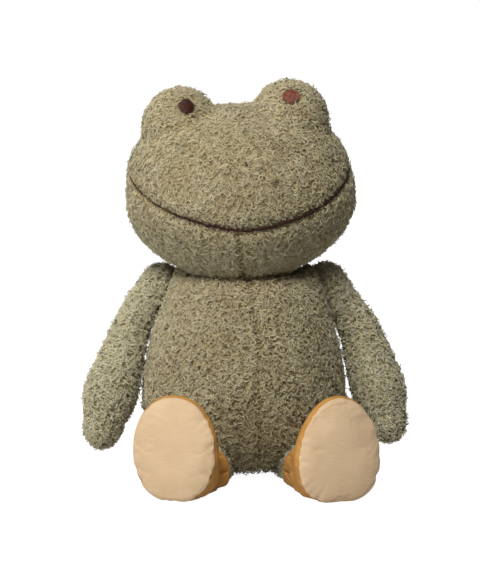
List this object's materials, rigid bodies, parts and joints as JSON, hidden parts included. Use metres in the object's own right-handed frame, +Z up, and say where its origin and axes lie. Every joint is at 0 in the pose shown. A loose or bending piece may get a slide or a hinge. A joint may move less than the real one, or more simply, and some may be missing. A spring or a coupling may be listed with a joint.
{
  "type": "plush frog",
  "caption": "Seated plush frog with a wide head, raised eye bumps, a stitched mouth line, hanging arms and splayed feet with smooth woven soles.",
  "frame": {"origin": "middle of the flat face under the seat, on the surface that the frog sits on", "axes": "+Z up; the frog faces -Y, and +X is its own left side"},
  "size_m": [0.2494, 0.1935, 0.3001],
  "materials": {
    "pile": "curly bouclé pile, matte",
    "ochre_cloth": "woven cotton, matte",
    "peach_cloth": "woven cotton, matte",
    "eye_thread": "satin-stitched thread, soft sheen",
    "mouth_thread": "embroidery thread, soft sheen",
    "seam_thread": "sewing thread",
    "stuffing": "polyester fibre, matte",
    "pouch_cloth": "plain lining cloth, matte"
  },
  "bodies": {
    "torso": {"seat_panel": "pile", "belly_left_panel": "pile", "belly_right_panel": "pile", "back_left_panel": "pile", "back_right_panel": "pile", "trunk_filling": "stuffing", "pellet_pouch": "pouch_cloth", "closing_stitch": "seam_thread"},
    "neck": {"neck_filling": "stuffing"},
    "head": {"face_panel": "pile", "jaw_left_panel": "pile", "jaw_right_panel": "pile", "head_back_left_panel": "pile", "head_back_right_panel": "pile", "head_filling": "stuffing", "mouth_line": "mouth_thread", "eye_left": "eye_thread", "eye_right": "eye_thread"},
    "arm_left": {"arm_left_front_panel": "pile", "arm_left_back_panel": "pile", "arm_left_filling": "stuffing"},
    "arm_right": {"arm_right_front_panel": "pile", "arm_right_back_panel": "pile", "arm_right_filling": "stuffing"},
    "leg_left": {"leg_left_sleeve": "pile", "leg_left_filling": "stuffing", "foot_left_upper": "ochre_cloth", "foot_left_sole": "peach_cloth"},
    "leg_right": {"leg_right_sleeve": "pile", "leg_right_filling": "stuffing", "foot_right_upper": "ochre_cloth", "foot_right_sole": "peach_cloth"}
  },
  "joints": [
    {"name": "head_turn", "type": "hinge", "parent": "torso", "child": "neck", "pos_m": [0, 0, 0.152], "axis": [0, 0, 1], "range_deg": [-15, 15], "stiffness_Nm_per_rad": 0.3},
    {"name": "head_nod", "type": "hinge", "parent": "neck", "child": "head", "pos_m": [0, 0, 0.152], "axis": [0.9971, -0.0523, 0.0558], "range_deg": [-10, 8], "stiffness_Nm_per_rad": 0.6},
    {"name": "arm_left_raise", "type": "hinge", "parent": "torso", "child": "arm_left", "pos_m": [0.064, 0.014, 0.142], "axis": [0, -1, 0], "range_deg": [0, 70], "stiffness_Nm_per_rad": 0.05},
    {"name": "arm_right_raise", "type": "hinge", "parent": "torso", "child": "arm_right", "pos_m": [-0.064, 0.014, 0.142], "axis": [0, 1, 0], "range_deg": [0, 70], "stiffness_Nm_per_rad": 0.05},
    {"name": "leg_left_raise", "type": "hinge", "parent": "torso", "child": "leg_left", "pos_m": [0.034, -0.066, 0.0505], "axis": [-0.9397, -0.342, 0], "range_deg": [0, 20], "stiffness_Nm_per_rad": 0.1},
    {"name": "leg_right_raise", "type": "hinge", "parent": "torso", "child": "leg_right", "pos_m": [-0.034, -0.066, 0.0505], "axis": [-0.9397, 0.342, 0], "range_deg": [0, 20], "stiffness_Nm_per_rad": 0.1}
  ]
}
